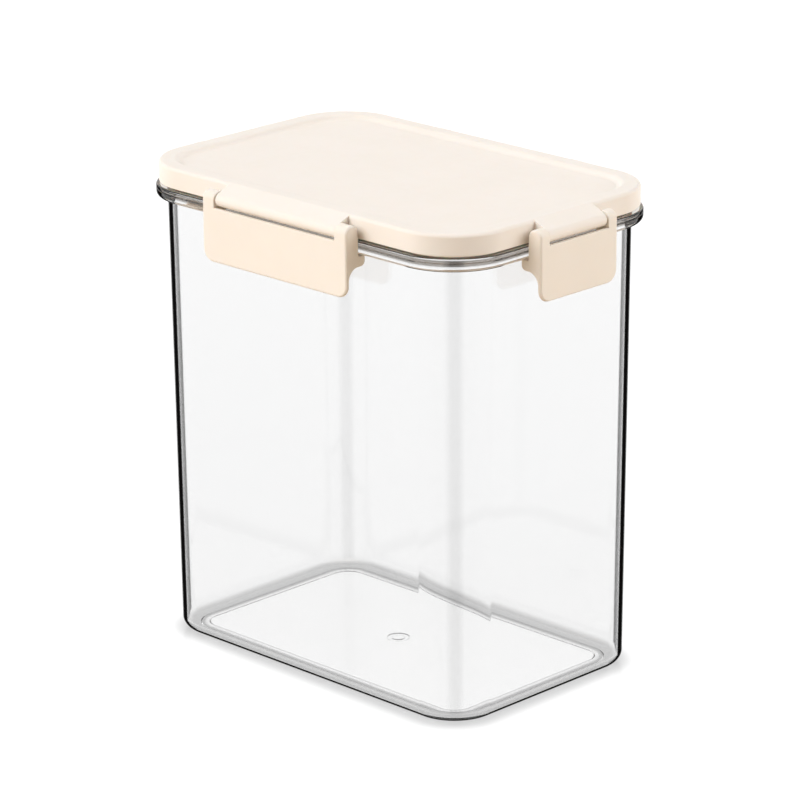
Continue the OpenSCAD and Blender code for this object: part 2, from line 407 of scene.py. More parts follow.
def add_node(
    tree: Tree, kind: str, inputs: Union[Sequence, dict] = (),
    out: Union[int, str] = 0, **settings: object,
) -> Optional[Socket]:
    """Add one shader node with its settings, values and links.

    Args:
        tree: The node tree.
        kind: Node type without its ShaderNode prefix.
        inputs: Values or output sockets for its inputs, in the node's own order, or
            by socket name or number.
        out: The output that is wanted, by number or name.
        settings: Attributes to set on the node.

    Returns:
        The output, or nothing for a node without outputs.
    """
    node = tree.nodes.new("ShaderNode" + kind)
    for name, value in settings.items():
        setattr(node, name, value)
    for key, value in inputs.items() if isinstance(inputs, dict) else enumerate(inputs):
        if isinstance(value, Socket):
            tree.links.new(value, node.inputs[key])
        else:
            node.inputs[key].default_value = value
    return node.outputs[out] if node.outputs else None


def new_material(name: str) -> tuple[bpy.types.Material, Tree]:
    """Make an empty node material.

    Args:
        name: Name of the material.

    Returns:
        The material and its node tree.
    """
    material = bpy.data.materials.new(name)
    material.use_nodes = True
    material.node_tree.nodes.clear()
    return material, material.node_tree


def plan_sides(tree: Tree, place: Socket, plan: Plan) -> list[Socket]:
    """Measure how far a place lies past the corner centres, along X and along Y.

    Args:
        tree: The node tree.
        place: Object coordinates, in metres.
        plan: The rounded rectangle.

    Returns:
        The two distances. Both are above zero only within a corner.
    """
    sides = []
    for axis, middle in (("X", plan.core.x), ("Y", plan.core.y)):
        along = add_node(tree, "SeparateXYZ", (place,), axis)
        size = add_node(tree, "Math", (along,), operation="ABSOLUTE")
        sides.append(add_node(tree, "Math", (size, middle * MM), operation="SUBTRACT"))
    return sides


def plan_reach(tree: Tree, sides: Sequence[Socket]) -> Socket:
    """Measure how far a place lies from the straight-edged core of the plan.

    Args:
        tree: The node tree.
        sides: Distances past the corner centres, from plan_sides.

    Returns:
        The distance.
    """
    past = [add_node(tree, "Math", (side, 0.0), operation="MAXIMUM") for side in sides]
    across = add_node(tree, "CombineXYZ", past)
    return add_node(tree, "VectorMath", (across,), "Value", operation="LENGTH")


@dataclass(frozen=True)
class ClearStyrene:
    """Crystal styrene-acrylonitrile, injection moulded in a polished mould.

    The polish gives sharp, glassy reflections. The corners, the base edge and the
    flange get painted shade, near black, where they are seen edge-on, standing in
    for dark surroundings seen in them. The melt's flow leaves a faint slow ripple in
    the surface. A faint grey painted reflection runs down the middle of each upright
    corner, a dark band of painted shade runs along the flange's outer face, and a
    grey line of painted shade lies on the foot ring's sloped sides.
    """

    name: str = "moulded_san_clear"
    clear: str = "#F4F4F4"
    # painted edge shade: near-black colour and black shader for curved parts seen edge-on
    edge_shade_colour: str = "#050505"
    edge_shade_black: str = "#0C0C0C"
    dark_from: tuple[float, float] = (0.58, 0.64)
    grey_from: tuple[float, float] = (0.80, 0.90)
    outer_share: float = 0.55
    upright_lift: tuple[float, float] = (0.25, 0.7)
    corner_side: tuple[float, float] = (-1.0, 1.0)
    base_z: tuple[float, float] = (5.0, 6.5)
    # painted reflection: the grey laid down the middle of each upright corner
    corner_reflection_grey: str = "#E6E6E6"
    corner_reflection_turn: tuple[float, float] = (2.0, 13.0)
    # painted shade: dark band along the flange's outer face, darker at the corners
    rim_shade: str = "#6A635C"
    rim_corner_shade: str = "#2E2924"
    rim_low: tuple[float, float] = (221.7, 222.3)
    rim_high: tuple[float, float] = (224.7, 225.0)
    rim_face: tuple[float, float] = (29.0, 29.2)
    # painted shade: grey line on the foot ring's sloped sides
    foot_ring_shade: str = "#A8A8A8"
    ring_z: tuple[float, float] = (0.50, 0.55)
    ring_lift: tuple[float, float] = (-0.93, -0.85)
    ior: float = 1.57
    haze: tuple[float, float] = (0.012, 0.03)
    haze_mm: float = 9.0
    ripple_mm: float = 38.0
    ripple_depth_mm: float = 0.012
    lamp_tint: str = "#FCFCFC"
    plan: Plan = WALL_PLAN

    def corner_middle(self, tree: Tree, sides: Sequence[Socket]) -> Socket:
        """Mark the middle of the four upright corners.

        Args:
            tree: The node tree.
            sides: Distances past the corner centres.

        Returns:
            1 in the middle of a corner, easing to 0 on both sides.
        """
        angle = add_node(tree, "Math", (sides[1], sides[0]), operation="ARCTAN2")
        off = add_node(tree, "Math", (angle, math.pi / 4), operation="SUBTRACT")
        away = add_node(tree, "Math", (off,), operation="ABSOLUTE")
        near, far = (math.radians(turn) for turn in self.corner_reflection_turn)
        return add_node(tree, "MapRange", (away, near, far, 1.0, 0.0), **EASE)

    def painted_rim_shade(self, tree: Tree, sides: Sequence[Socket], height: Socket) -> Socket:
        """Mark where the flange gets painted shade: a stripe along its outer face.

        Args:
            tree: The node tree.
            sides: Distances past the corner centres.
            height: Height of the place, in metres.

        Returns:
            1 in the stripe and 0 elsewhere.
        """
        edge, low, high = (
            [limit * MM for limit in limits]
            for limits in (self.rim_face, self.rim_low, self.rim_high)
        )
        outer = add_node(tree, "MapRange", (plan_reach(tree, sides), *edge, 0.0, 1.0))
        over = add_node(tree, "MapRange", (height, *low, 0.0, 1.0))
        under = add_node(tree, "MapRange", (height, *high, 1.0, 0.0))
        inside = add_node(tree, "Math", (over, under), operation="MULTIPLY")
        return add_node(tree, "Math", (inside, outer), operation="MULTIPLY")

    def painted_edge_shade_share(
        self, tree: Tree, sides: Sequence[Socket], height: Socket, upright: Socket
    ) -> Socket:
        """Work out the painted edge shade: where a curved part is seen edge-on.

        Args:
            tree: The node tree.
            sides: Distances past the corner centres.
            height: Height of the place, in metres.
            upright: 1 where the surface stands upright.

        Returns:
            The share of painted shade.
        """
        facing = add_node(tree, "LayerWeight", {"Blend": 0.5}, "Facing")
        share = add_node(tree, "MapRange", (facing, *self.dark_from, 0.0, 1.0), **EASE)
        outer = add_node(
            tree, "MapRange", (facing, *self.grey_from, 1.0, self.outer_share), **EASE
        )
        side, low = (
            [limit * MM for limit in limits] for limits in (self.corner_side, self.base_z)
        )
        least = add_node(tree, "Math", sides, operation="MINIMUM")
        turned = add_node(tree, "MapRange", (least, *side, 0.0, 1.0))
        base = add_node(tree, "MapRange", (height, *low, 1.0, 0.0))
        curved = add_node(tree, "Math", (turned, base), operation="MAXIMUM")
        for mask in (outer, curved, upright):
            share = add_node(tree, "Math", (share, mask), operation="MULTIPLY")
        return share

    def tint(
        self, tree: Tree, sides: Sequence[Socket], height: Socket, lift: Socket,
        upright: Socket, edge_shade: Socket,
    ) -> Socket:
        """Lay painted corner reflections and painted flange, foot and edge shade on the
        colour.

        Args:
            tree: The node tree.
            sides: Distances past the corner centres.
            height: Height of the place, in metres.
            lift: How far the surface faces upwards.
            upright: 1 where the surface stands upright.
            edge_shade: Share of painted edge shade.

        Returns:
            The colour.
        """
        corner = self.corner_middle(tree, sides)
        corner_reflection = add_node(tree, "Math", (corner, upright), operation="MULTIPLY")
        ends = {0: corner, 6: linear(self.rim_shade), 7: linear(self.rim_corner_shade)}
        flange = add_node(tree, "Mix", ends, 2, data_type="RGBA")
        low, high = (limit * MM for limit in self.ring_z)
        foot = add_node(tree, "MapRange", (height, low, high, 1.0, 0.0))
        leaning = add_node(tree, "MapRange", (lift, *self.ring_lift, 0.0, 1.0))
        slope = add_node(tree, "Math", (foot, leaning), operation="MULTIPLY")
        colour = linear(self.clear)
        for share, layer in (
            (corner_reflection, linear(self.corner_reflection_grey)),
            (self.painted_rim_shade(tree, sides, height), flange),
            (slope, linear(self.foot_ring_shade)),
            (edge_shade, linear(self.edge_shade_colour)),
        ):
            ends = {0: share, 6: colour, 7: layer}
            colour = add_node(tree, "Mix", ends, 2, data_type="RGBA")
        return colour

    def build(self) -> bpy.types.Material:
        """Build the material.

        Returns:
            The node material.
        """
        material, tree = new_material(self.name)
        place = add_node(tree, "TexCoord", out="Object")
        normal = add_node(tree, "TexCoord", out="Normal")
        height = add_node(tree, "SeparateXYZ", (place,), "Z")
        lift = add_node(tree, "SeparateXYZ", (normal,), "Z")
        sides = plan_sides(tree, place, self.plan)
        upright = add_node(tree, "MapRange", (lift, *self.upright_lift, 1.0, 0.0), **EASE)
        edge_shade = self.painted_edge_shade_share(tree, sides, height, upright)
        swell, cloud = (
            add_node(tree, "TexNoise",
                     {"Vector": place, "Scale": 1 / (size * MM), "Detail": detail})
            for size, detail in ((self.ripple_mm, 1.0), (self.haze_mm, 3.0))
        )
        wave = {"Strength": 1.0, "Distance": self.ripple_depth_mm * MM, "Height": swell}
        ripple = add_node(tree, "Bump", wave)
        plastic = add_node(
            tree, "BsdfPrincipled",
            {"Transmission Weight": 1.0, "IOR": self.ior, "Normal": ripple,
             "Base Color": self.tint(tree, sides, height, lift, upright, edge_shade),
             "Roughness": add_node(tree, "MapRange", (cloud, *BLOTCH, *self.haze))},
        )
        # painted edge shade: a black diffuse shader takes over where edges are seen edge-on
        edge_shade_black = add_node(tree, "BsdfDiffuse", {"Color": linear(self.edge_shade_black)})
        body = add_node(tree, "MixShader", (edge_shade, plastic, edge_shade_black))
        open_way = add_node(tree, "BsdfTransparent", {"Color": linear(self.lamp_tint)})
        rays = [
            add_node(tree, "LightPath", out=kind)
            for kind in ("Is Shadow Ray", "Is Diffuse Ray")
        ]
        from_lamp = add_node(tree, "Math", rays, operation="MAXIMUM")
        surface = add_node(tree, "MixShader", (from_lamp, body, open_way))
        add_node(tree, "OutputMaterial", {"Surface": surface})
        return material


@dataclass(frozen=True)
class CreamPolypropylene:
    """Cream polypropylene, injection moulded in a finely sparked mould.

    The fine spark grain gives a soft satin sheen. The pigment swirls very slightly
    with the flow, and a little light soaks into the plastic.
    """

    name: str
    light: str
    deep: str
    roughness: tuple[float, float] = (0.34, 0.46)
    spots_mm: float = 4.0
    grain_mm: float = 0.55  # the real grain is near 0.05 mm, drawn coarser so it shows
    grain_depth_mm: float = 0.012
    swirl_mm: float = 26.0
    swirl_detail: float = 4.0

    def look(self) -> dict:
        """Return the shader values that are the same all over."""
        return {"IOR": 1.49, "Subsurface Weight": 0.12, "Subsurface Scale": 2.0 * MM,
                "Subsurface Radius": (1.0, 0.7, 0.45), "Specular IOR Level": 0.5}

    def build(self) -> bpy.types.Material:
        """Build the material.

        Returns:
            The node material.
        """
        material, tree = new_material(self.name)
        place = add_node(tree, "TexCoord", out="Object")
        swirl, grain, spots = (
            add_node(tree, "TexNoise",
                     {"Vector": place, "Scale": 1 / (size * MM), "Detail": detail,
                      "Roughness": rough})
            for size, detail, rough in (
                (self.swirl_mm, self.swirl_detail, 0.5), (self.grain_mm, 3.0, 0.6),
                (self.spots_mm, 3.0, 0.5),
            )
        )
        share = add_node(tree, "MapRange", (swirl, *BLOTCH, 0.0, 1.0))
        ends = {0: share, 6: linear(self.deep), 7: linear(self.light)}
        pits = {"Strength": 1.0, "Distance": self.grain_depth_mm * MM, "Height": grain}
        bump = add_node(tree, "Bump", pits)
        body = add_node(
            tree, "BsdfPrincipled",
            {**self.look(), "Normal": bump,
             "Base Color": add_node(tree, "Mix", ends, 2, data_type="RGBA"),
             "Roughness": add_node(tree, "MapRange", (spots, *BLOTCH, *self.roughness))},
        )
        add_node(tree, "OutputMaterial", {"Surface": body})
        return material


@dataclass(frozen=True)
class MilkySilicone(CreamPolypropylene):
    """Milky silicone rubber, compression moulded, with the soft dusty sheen of a seal.

    Its clouds and grain are laid as on the cream plastic, in its own sizes.
    """

    name: str = "moulded_silicone_milky"
    light: str = "#F1F0EA"
    deep: str = "#E2E1D9"
    roughness: tuple[float, float] = (0.42, 0.58)
    spots_mm: float = 11.0
    grain_mm: float = 0.8
    grain_depth_mm: float = 0.02
    swirl_mm: float = 11.0
    swirl_detail: float = 3.0

    def look(self) -> dict:
        """Return the shader values that are the same all over."""
        return {"IOR": 1.41, "Subsurface Weight": 0.4, "Subsurface Scale": 3.0 * MM,
                "Sheen Weight": 0.15, "Sheen Roughness": 0.4}


@dataclass(frozen=True)
class WhiteTabletop:
    """White acrylic light table: an even glow from below and a weak, soft reflection.

    The glow is dimmed in a band along the canister's wall and foot, a painted contact
    shadow, and raised under the canister, a pool of painted light. To diffuse rays the
    floor looks warm tan, a painted bounce light that warms the shade on the pieces.
    """

    name: str = "opal_acrylic_white"
    light: str = "#565656"
    deep: str = "#545454"
    # painted bounce light: warm tan that diffuse rays see on the floor, warming the shade
    # on the pieces
    painted_bounce: str = "#C6B195"
    cloud_mm: float = 60.0
    roughness: tuple[float, float] = (0.16, 0.2)
    glow: float = 0.93
    # painted contact shadow: glow in the band along the canister's wall and foot
    shadow_glow: float = 0.52
    # painted light: extra glow under the canister
    painted_light_under: float = 0.26
    foot_reach: tuple[float, float] = (-15.0, -13.0)
    wall_reach: tuple[float, float] = (-6.0, 6.0)
    plan: Plan = WALL_PLAN

    def strength(self, tree: Tree, place: Socket) -> Socket:
        """Work out how strongly a place glows, with the painted contact shadow and light.

        Args:
            tree: The node tree.
            place: Object coordinates, in metres.

        Returns:
            The emission strength.
        """
        reach = plan_reach(tree, plan_sides(tree, place, self.plan))
        foot, wall = (
            [(self.plan.radius + limit) * MM for limit in limits]
            for limits in (self.foot_reach, self.wall_reach)
        )
        inward = add_node(tree, "MapRange", (reach, *foot, 1.0, 0.0), **EASE)
        outward = add_node(tree, "MapRange", (reach, *wall, 0.0, 1.0), **EASE)
        clear = add_node(tree, "Math", (inward, outward), operation="MAXIMUM")
        level = add_node(tree, "MapRange", (clear, 0.0, 1.0, self.shadow_glow, self.glow))
        parts = (inward, self.painted_light_under, level)
        return add_node(tree, "Math", parts, operation="MULTIPLY_ADD")

    def build(self) -> bpy.types.Material:
        """Build the material.

        Returns:
            The node material.
        """
        material, tree = new_material(self.name)
        place = add_node(tree, "TexCoord", out="Object")
        pattern = {"Vector": place, "Scale": 1 / (self.cloud_mm * MM), "Detail": 3.0}
        cloud = add_node(tree, "TexNoise", pattern)
        ends = {0: cloud, 6: linear(self.deep), 7: linear(self.light)}
        body = add_node(
            tree, "BsdfPrincipled",
            {"IOR": 1.45, "Specular IOR Level": 0.35, "Emission Color": (1, 1, 1, 1),
             "Emission Strength": self.strength(tree, place),
             "Base Color": add_node(tree, "Mix", ends, 2, data_type="RGBA"),
             "Roughness": add_node(tree, "MapRange", (cloud, *BLOTCH, *self.roughness))},
        )
        # painted bounce light: diffuse rays see this tan shader in place of the floor
        bounce_light = add_node(tree, "BsdfDiffuse", {"Color": linear(self.painted_bounce)})
        soft_ray = add_node(tree, "LightPath", out="Is Diffuse Ray")
        surface = add_node(tree, "MixShader", (soft_ray, body, bounce_light))
        add_node(tree, "OutputMaterial", {"Surface": surface})
        return material


class Tie(NamedTuple):
    """What a piece stands for: its CAD node, the body it moves with and its slot."""

    node: str
    body: str
    slot: str


class Moulding:
    """What every moulding can do: wear its finish and follow its body."""

    def dress(
        self, obj: bpy.types.Object, name: str, tie: Tie, finish: bpy.types.Material
    ) -> None:
        """Give a modelled solid its name and finish, and tie it to the frame.

        Args:
            obj: The modelled solid, at the origin.
            name: Name of the piece.
            tie: Its CAD node, body and slot.
            finish: Its material.
        """
        obj.name = obj.data.name = name
        obj.data.materials.clear()
        obj.data.materials.append(finish)
        for face in obj.data.polygons:
            face.material_index = 0
        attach(obj, tie.body)
        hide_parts(tie.node)
        LOG.info("%s: %d faces, rides on %s", name, len(obj.data.polygons), tie.body)


@dataclass
class CanisterBody(Moulding):
    """Clear body: leaning walls, rim flange, floor and foot ring, in mm."""

    plan: Plan
    rim_top: float
    draft: float = 2.3
    wall: float = 2.2
    floor_under: float = 0.6
    floor: float = 2.6
    base_round: float = 5.5
    floor_round: float = 3.4
    rim_out: float = 5.5
    rim_height: float = 6.3
    bead_drop: float = 2.1
    bead: float = 0.4
    foot_out: float = -12.3
    foot_in: float = -16.0
    foot_slope: float = 0.6
    middle: float = -21.0
    gate_radius: float = 5.5
    gate_nub: float = 3.0
    gate_depth: float = 0.5
    gate_sides: int = 48

    def outline(self) -> list[Corner]:
        """Draw the cross-section, from under the floor round to its top side.

        Returns:
            The corners in order.
        """
        under, top = self.floor_under, self.rim_top
        flange = top - self.rim_height
        lean = self.draft / (flange - under)
        inside = (self.floor + under - flange) * lean - self.wall
        bead = top - self.bead_drop
        return [
            Corner(self.middle, under),
            Corner(self.foot_in - self.foot_slope, under, 0.3, 2),
            Corner(self.foot_in, 0, 0.3, 2),
            Corner(self.foot_out, 0, 0.3, 2),
            Corner(self.foot_out + self.foot_slope, under, 0.3, 2),
            Corner(-self.draft, under, self.base_round, 10),
            Corner(0, flange, 0.6, 3),
            Corner(self.rim_out, flange, 2.4, 7),
            Corner(self.rim_out, bead - self.bead, 0.15, 2),
            Corner(self.rim_out - self.bead, bead, 0.2, 2),
            Corner(self.rim_out, bead + self.bead, 0.15, 2),
            Corner(self.rim_out, top, 1.2, 5),
            Corner(-self.wall, top, 0.5, 3),
            Corner(-self.wall, flange, 0.0),
            Corner(inside, under + self.floor, self.floor_round, 8),
            Corner(self.middle, under + self.floor),
        ]

    def gate(self) -> None:
        """Sink the moulding dimple and its nub in the middle of the underside."""
        under = self.floor_under * MM
        deep = under + self.gate_depth * MM
        ring = (self.gate_radius + PASS) * MM
        bpy.ops.mesh.primitive_circle_add(
            vertices=self.gate_sides, radius=self.gate_radius * MM,
            location=(0, 0, under),
        )
        select_where(
            "EDGE",
            lambda p: abs(p.z - under) < LEVEL
            and (math.hypot(p.x, p.y) < ring or self.on_inner_edge(p)),
        )
        bpy.ops.mesh.fill(use_beauty=True)
        select_where(
            "EDGE",
            lambda p: abs(p.z - under) < LEVEL
            and abs(math.hypot(p.x, p.y) - self.gate_radius * MM) < LEVEL,
        )
        bpy.ops.mesh.extrude_region_move(
            TRANSFORM_OT_translate={"value": (0, 0, deep - under)}
        )
        share = self.gate_nub / self.gate_radius
        bpy.ops.mesh.extrude_region_move()
        bpy.ops.transform.resize(
            value=(share, share, 1), center_override=(0, 0, deep)
        )
        bpy.ops.mesh.extrude_region_move(
            TRANSFORM_OT_translate={"value": (0, 0, under - deep)}
        )
        bpy.ops.mesh.edge_face_add()

    def on_inner_edge(self, p: Vector) -> bool:
        """Say whether a place lies on the innermost drawn edge of the underside.

        Args:
            p: The place, in metres.

        Returns:
            True on that edge.
        """
        core, reach = self.plan.core, self.plan.radius + self.middle
        dx = max(abs(p.x) / MM - core.x, 0)
        dy = max(abs(p.y) / MM - core.y, 0)
        return abs(math.hypot(dx, dy) - reach) < NEAR

    def build(self) -> bpy.types.Object:
        """Model the body.

        Returns:
            One closed solid.
        """
        obj = self.plan.sweep("canister_body_clear", self.outline(), closed=False)
        self.gate()
        cap(self.floor_under + self.floor)
        close_up(obj)
        leave_edit()
        smooth(obj)
        return obj


@dataclass
class Lid(Moulding):
    """Cream lid: stacking rim, sunken panel, skirt, plug wall and four hinge noses."""

    plan: Plan
    top: float
    skirt_bottom: float
    plug_bottom: float
    out: float = 4.1
    skirt: float = 2.0
    edge_round: float = 1.8
    panel_sink: float = 2.0
    panel: float = 2.2
    step_in: float = -6.33
    step_out: float = -4.47
    step_round: float = 3.1
    channel: float = 231.4
    plug_out: float = -2.8
    plug_in: float = -4.6
    middle: float = -11.0
    nose_front: float = 13.1
    nose_round: float = 3.3
    nose_knee: float = 5.48
    nose_back: tuple[float, float] = (3.0, 236.357)
    nose_root: tuple[float, float] = (2.6, 235.2)
    nose_end: float = 0.8
    nose_end_from: float = 4.4
    plug_lead: tuple[float, float] = (0.6, 1.8)
    hinge_out: float = 9.8
    hinge_z: float = 229.9
    bore: float = 1.3
    bore_depth: float = 3.0

    def outline(self) -> list[Corner]:
        """Draw the cross-section, from the panel round to its underside.

        Returns:
            The corners in order.
        """
        top, low = self.top, self.skirt_bottom
        panel = top - self.panel_sink
        inner = self.out - self.skirt
        return [
            Corner(self.middle, panel),
            Corner(self.step_in, panel, self.step_round, 6),
            Corner(self.step_out, top, self.step_round, 6),
            Corner(self.out, top, self.edge_round, 7),
            Corner(self.out, low, 0.4, 3),
            Corner(inner, low, 0.4, 3),
            Corner(inner, self.channel, 0.3, 2),
            Corner(self.plug_out, self.channel, 0.3, 2),
            Corner(self.plug_out, self.plug_bottom + self.plug_lead[1], 0.5, 2),
            Corner(self.plug_out - self.plug_lead[0], self.plug_bottom, 0.4, 2),
            Corner(self.plug_in, self.plug_bottom, 0.4, 2),
            Corner(self.plug_in, panel - self.panel, 0.8, 4),
            Corner(self.middle, panel - self.panel),
        ]

    def nose(self, long: float) -> bpy.types.Object:
        """Model a hinge nose with its two blind peg bores.

        Args:
            long: Length of the nose along the side, in mm.

        Returns:
            The nose, on the middle of the back wall.
        """
        low = self.hinge_z - self.nose_round
        half = long / 2
        obj = prism(
            "nose",
            [Corner(self.nose_root[0], low),
             Corner(self.nose_front, low, self.nose_round, 8),
             Corner(self.nose_front, low + self.nose_knee, self.nose_round, 8),
             Corner(*self.nose_back), Corner(*self.nose_root)],
            -half, half,
        )
        edit(obj)
        for end in (-half, half):
            select_where(
                "EDGE",
                lambda p: abs(p.x - end * MM) < LEVEL and p.y > self.nose_end_from * MM,
            )
            bpy.ops.mesh.bevel(offset=self.nose_end * MM, segments=4, clamp_overlap=True)
        close_up(obj, FINE_WELD)
        leave_edit()
        for way in (-1, 1):
            start = Vector((way * (half + PASS), self.hinge_out, self.hinge_z))
            cutter = rod("bore", start, -way * (self.bore_depth + PASS), self.bore)
            boolean(obj, cutter, "DIFFERENCE")
        return obj

    def build(self, noses: Iterable[tuple[float, Sequence[Side]]]) -> bpy.types.Object:
        """Model the lid with its noses.

        Args:
            noses: Nose lengths in mm, each with the sides that carry it.

        Returns:
            One closed solid.
        """
        obj = self.plan.sweep("lid_shell", self.outline(), closed=False)
        panel = self.top - self.panel_sink
        cap(panel)
        cap(panel - self.panel)
        close_up(obj)
        leave_edit()
        for long, sides in noses:
            nose = self.nose(long)
            for side in sides:
                name = "nose_" + side.name.lower()
                boolean(obj, copy_turned(nose, name, self.plan.turn(side)), "UNION")
            bpy.data.objects.remove(nose)
        smooth(obj)
        return obj


@dataclass
class SealingRing(Moulding):
    """Silicone ring in the lid's channel, with a relief groove on each side."""

    plan: Plan
    bottom: float
    top: float
    inner: float = -2.5
    outer: float = 1.8
    groove: float = 0.7

    def build(self) -> bpy.types.Object:
        """Model the ring.

        Returns:
            One closed solid.
        """
        mid = (self.bottom + self.top) / 2
        g = self.groove
        corners = [
            Corner(self.inner, self.bottom, 0.5, 3),
            Corner(self.outer, self.bottom, 0.5, 3),
            Corner(self.outer, mid - g, 0.25, 2), Corner(self.outer - g, mid, 0.4, 3),
            Corner(self.outer, mid + g, 0.25, 2), Corner(self.outer, self.top, 0.5, 3),
            Corner(self.inner, self.top, 0.5, 3), Corner(self.inner, mid + g, 0.25, 2),
            Corner(self.inner + g, mid, 0.4, 3), Corner(self.inner, mid - g, 0.25, 2),
        ]
        obj = self.plan.sweep("sealing_ring", corners, closed=True)
        leave_edit()
        smooth(obj)
        return obj


@dataclass
class Latch(Moulding):
    """Flap latch: a plate, two hollow ears with pegs, and a hook rib behind."""

    width: float
    ear: float
    top: float = 233.8
    bottom: float = 200.2
    face: float = 13.7
    plate: float = 1.8
    plate_top: float = 226.3
    lip: float = 1.4
    lip_drop: float = 0.9
    back: float = 5.9
    ear_round: float = 3.9
    hook_tip: float = 1.8
    hook_top: float = 218.9
    hook_bottom: float = 213.9
    rib_bottom: float = 216.3
    hollow: float = 6.0
    low_corner: float = 6.0
    hinge_out: float = 9.8
    hinge_z: float = 229.9
    peg: float = 1.25
    peg_length: float = 2.7
    soft_edge: float = 1.15
    slot_softness: float = 0.3
    back_softness: float = 0.35
    core_gap: tuple[float, float] = (0.4, -1.0)
    join: float = 0.5
    peg_root: float = 0.6

    def ear_outline(self) -> list[Corner]:
        """Draw the section at an ear: round head, back, hook and hollow curve.

        Returns:
            The corners in order.
        """
        inner = self.face - self.plate
        return [
            Corner(self.back, self.top, self.ear_round, 9),
            Corner(self.back, self.hook_top, 0.5, 2),
            Corner(self.hook_tip, self.hook_top, 0.8, 4),
            Corner(self.hook_tip, self.hook_bottom, 2.4, 7),
            Corner(inner, self.hook_bottom, self.hollow, 9),
            Corner(inner, self.bottom),
            Corner(self.face, self.bottom),
            Corner(self.face, self.top, self.ear_round, 9),
        ]

    def middle_outline(self) -> list[Corner]:
        """Draw the section between the ears: plate, return lip and hook rib.

        Returns:
            The corners in order.
        """
        inner = self.face - self.plate
        lip_top = self.plate_top - self.lip_drop
        return [
            Corner(self.face, self.plate_top),
            Corner(inner, self.plate_top, 0.3, 4),
            Corner(inner, lip_top, 0.2, 4),
            Corner(self.hinge_out, lip_top, 0.3, 4),
            Corner(self.hinge_out, lip_top - self.lip, 0.3, 4),
            Corner(inner, lip_top - self.lip, 0.4, 4),
            Corner(inner, self.hook_top, 0.4, 4),
            Corner(self.hook_tip, self.hook_top, 0.8, 4),
            Corner(self.hook_tip, self.rib_bottom, 1.0, 4),
            Corner(inner, self.rib_bottom, 3.0, 5),
            Corner(inner, self.bottom),
            Corner(self.face, self.bottom),
        ]

    def build(self) -> bpy.types.Object:
        """Model the latch.

        Returns:
            One closed solid, on the middle of the back wall.
        """
        half, inner = self.width / 2, self.width / 2 - self.ear
        obj = prism("latch", self.middle_outline(), -inner - self.join, inner + self.join)
        core_low = self.hook_top + self.core_gap[0]
        core_high = self.hinge_z + self.core_gap[1]
        for way in (-1, 1):
            ear = prism("ear", self.ear_outline(), way * inner, way * half)
            middle, hollow = way * (half - self.ear / 2), self.ear / 2 - self.plate
            core = prism(
                "core",
                [Corner(middle - hollow, core_low, 0.3, 2),
                 Corner(middle + hollow, core_low, 0.3, 2),
                 Corner(middle + hollow, core_high, 0.3, 2),
                 Corner(middle - hollow, core_high, 0.3, 2)],
                self.back - PASS, self.face - self.plate, face_on=True,
            )
            boolean(ear, core, "DIFFERENCE")
            boolean(obj, ear, "UNION")
        low, high = self.bottom, self.top + PASS
        frontal = prism(
            "front_outline",
            [Corner(-half, low, self.low_corner, 10),
             Corner(half, low, self.low_corner, 10),
             Corner(half, high), Corner(-half, high)],
            self.hook_tip - PASS, self.face + PASS, face_on=True,
        )
        boolean(obj, frontal, "INTERSECT")
        self.soften(obj)
        for way in (-1, 1):
            start = Vector((way * (inner + self.peg_root), self.hinge_out, self.hinge_z))
            peg = rod("peg", start, -way * (self.peg_length + self.peg_root), self.peg)
            boolean(obj, peg, "UNION")
        smooth(obj)
        return obj

    def softness(self, ends: Sequence[Vector]) -> float:
        """Say how much of the full rounding an edge gets.

        Args:
            ends: The two ends of the edge, in mm.

        Returns:
            A share of the full rounding.
        """
        half = self.width / 2
        within = half - self.ear + 5 * NEAR
        front = all(p.y > self.face - 2 * NEAR for p in ends)
        outer = all(abs(abs(p.x) - half) < 2 * NEAR for p in ends)
        head = all(p.z > self.hinge_z - PASS for p in ends)
        between = all(abs(p.x) < within and p.z > self.bottom + PASS for p in ends)
        if front and between:
            return self.slot_softness
        if front or (outer and head):
            return 1.0
        return self.back_softness

    def soften(self, obj: bpy.types.Object) -> None:
        """Round the latch's sharp edges as its mould does, most along its front.

        Args:
            obj: The latch without its pegs.
        """
        edit(obj)
        close_up(obj, FINE_WELD)
        bpy.ops.mesh.select_mode(type="EDGE")
        bpy.ops.mesh.select_all(action="DESELECT")
        bpy.ops.mesh.edges_select_sharp(sharpness=ROUNDED_ANGLE)
        shape = bmesh.from_edit_mesh(obj.data)
        weight = shape.edges.layers.float.new("bevel_weight_edge")
        for line in shape.edges:
            if line.select and line.is_convex:
                line[weight] = self.softness([v.co / MM for v in line.verts])
        bmesh.update_edit_mesh(obj.data)
        leave_edit()
        make_active(obj)
        bpy.ops.object.modifier_add(type="BEVEL")
        step = obj.modifiers[-1]
        step.limit_method = "WEIGHT"
        step.width, step.segments, step.use_clamp_overlap = self.soft_edge * MM, 4, False
        bpy.ops.object.modifier_apply(modifier=step.name)


def aim(azimuth: float, elevation: float) -> Vector:
    """Work out the way from the canister to a camera or lamp.

    Args:
        azimuth: Turn from the front towards the right, in radians.
        elevation: Height above the floor, in radians.

    Returns:
        A direction of length 1.
    """
    level = math.cos(elevation)
    return Vector(
        (math.sin(azimuth) * level, -math.cos(azimuth) * level, math.sin(elevation))
    )


class Lamp(NamedTuple):
    """A large, far and soft lamp: where it stands and how wide it looks, in degrees."""

    azimuth: float
    elevation: float
    spread: float
    power: float


